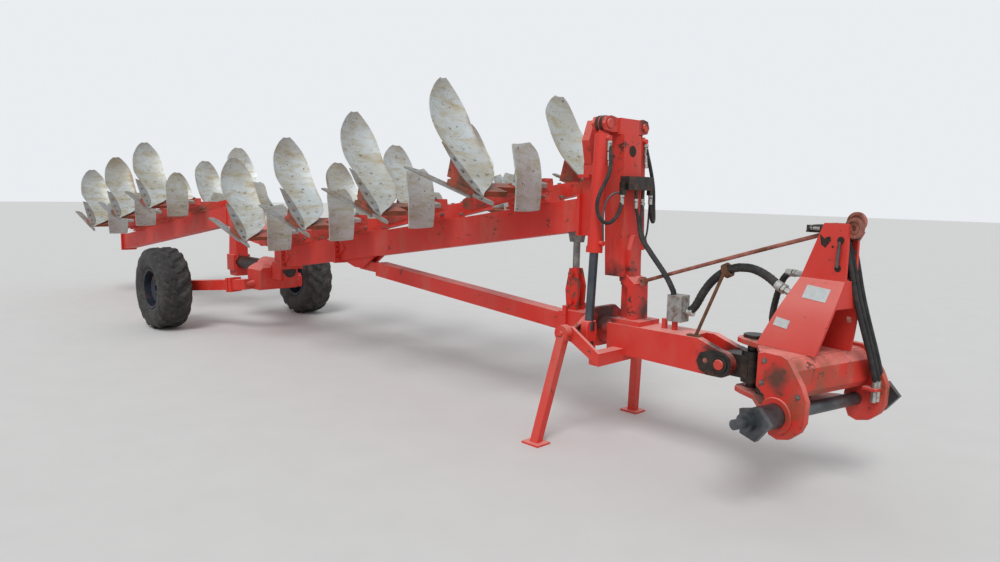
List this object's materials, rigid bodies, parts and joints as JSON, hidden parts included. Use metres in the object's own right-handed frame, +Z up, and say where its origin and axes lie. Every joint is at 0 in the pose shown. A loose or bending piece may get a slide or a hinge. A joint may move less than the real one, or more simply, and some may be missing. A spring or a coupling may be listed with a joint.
{
  "type": "semi-mounted reversible plough",
  "caption": "Long reversible plough on two carriage wheels, its body pairs half turned over, with a mast, drawbar, steered headstock and two parking stands.",
  "frame": {"origin": "on the ground under the middle of the bounding box", "axes": "+X forward towards the tractor, +Y to the left, +Z up"},
  "size_m": [10.9567, 2.09, 2.3512],
  "materials": {
    "bare_steel": "stained and dull",
    "dark_steel": "greasy",
    "hose_rubber": "matt",
    "red_paint": "worn gloss",
    "rim_paint": "satin black",
    "rod_steel": "satin",
    "tyre": "dusty rubber"
  },
  "bodies": {
    "drawbar": {"drawbar": "red_paint", "mast_column": "red_paint", "mast_head": "red_paint", "valve_block": "dark_steel", "turnover_barrels": "red_paint", "hose_post": "red_paint", "valve_hose_a": "hose_rubber", "valve_hose_b": "hose_rubber", "post_hose": "hose_rubber", "right_loop_hose": "hose_rubber", "left_loop_hose": "hose_rubber"},
    "frame": {"turnover_yoke": "red_paint", "draft_beam": "red_paint", "front_strut": "red_paint", "front_post": "red_paint", "front_beam": "red_paint", "rear_link": "red_paint", "rear_beam": "red_paint", "front_carriers": "red_paint", "rear_carriers": "red_paint", "roll_tube": "dark_steel", "right_front_legs": "red_paint", "right_rear_legs": "red_paint", "left_front_legs": "red_paint", "left_rear_legs": "red_paint", "right_front_boards": "bare_steel", "right_rear_boards": "bare_steel", "left_front_boards": "bare_steel", "left_rear_boards": "bare_steel", "right_front_shares": "bare_steel", "right_rear_shares": "bare_steel", "left_front_shares": "bare_steel", "left_rear_shares": "bare_steel", "right_front_skimmers": "bare_steel", "right_rear_skimmers": "bare_steel", "left_front_skimmers": "bare_steel", "left_rear_skimmers": "bare_steel"},
    "right_rod": {"right_rod": "rod_steel"},
    "left_rod": {"left_rod": "rod_steel"},
    "right_stand": {"right_stand": "red_paint"},
    "left_stand": {"left_stand": "red_paint"},
    "carriage": {"carriage_hub": "red_paint"},
    "wheel_arms": {"wheel_arms": "red_paint"},
    "right_wheel": {"right_tyre": "tyre", "right_rim": "rim_paint"},
    "left_wheel": {"left_tyre": "tyre", "left_rim": "rim_paint"},
    "pivot_cross": {"pivot_cross": "dark_steel"},
    "headstock": {"headstock_frame": "red_paint", "headstock_tower": "red_paint", "hitch_shaft": "dark_steel", "tower_back_hose": "hose_rubber", "tower_hose_a": "hose_rubber", "tower_hose_b": "hose_rubber", "tower_hose_c": "hose_rubber"}
  },
  "joints": [
    {"name": "turnover", "type": "hinge", "parent": "drawbar", "child": "frame", "pos_m": [3.81, 0, 0.7], "axis": [1, 0, 0], "range_deg": [-90, 90]},
    {"name": "carriage_roll", "type": "hinge", "parent": "frame", "child": "carriage", "pos_m": [-0.79, 0, 0.7], "axis": [1, 0, 0], "range_deg": [-91, 91]},
    {"name": "carriage_lift", "type": "hinge", "parent": "carriage", "child": "wheel_arms", "pos_m": [-0.81, 0, 0.535], "axis": [0, 1, 0], "range_deg": [-25, 0]},
    {"name": "right_wheel", "type": "hinge", "parent": "wheel_arms", "child": "right_wheel", "pos_m": [-1.64, -0.87, 0.45], "axis": [0, 1, 0], "continuous": true},
    {"name": "left_wheel", "type": "hinge", "parent": "wheel_arms", "child": "left_wheel", "pos_m": [-1.64, 0.87, 0.45], "axis": [0, 1, 0], "continuous": true},
    {"name": "right_rod_slide", "type": "slide", "parent": "drawbar", "child": "right_rod", "axis": [0, -0.053, -0.9986], "range_m": [-0.26, 0.26]},
    {"name": "left_rod_slide", "type": "slide", "parent": "drawbar", "child": "left_rod", "axis": [0, 0.053, -0.9986], "range_m": [-0.26, 0.26]},
    {"name": "headstock_pitch", "type": "hinge", "parent": "drawbar", "child": "pivot_cross", "pos_m": [4.7, 0, 0.64], "axis": [0, 1, 0], "range_deg": [-20, 0]},
    {"name": "headstock_steer", "type": "hinge", "parent": "pivot_cross", "child": "headstock", "pos_m": [4.84, 0, 0.64], "axis": [0, 0, 1], "range_deg": [-62, 88]},
    {"name": "right_stand_fold", "type": "hinge", "parent": "drawbar", "child": "right_stand", "pos_m": [3.78, -0.41, 0.715], "axis": [0, -1, 0], "range_deg": [0, 150]},
    {"name": "left_stand_fold", "type": "hinge", "parent": "drawbar", "child": "left_stand", "pos_m": [3.78, 0.41, 0.715], "axis": [0, -1, 0], "range_deg": [0, 150]}
  ],
  "couplings": [
    {"joint": "carriage_roll", "follows": "turnover", "ratio": -1},
    {"joint": "right_rod_slide", "follows": "turnover", "m_per_rad": 0.1637},
    {"joint": "left_rod_slide", "follows": "turnover", "m_per_rad": -0.1637}
  ]
}
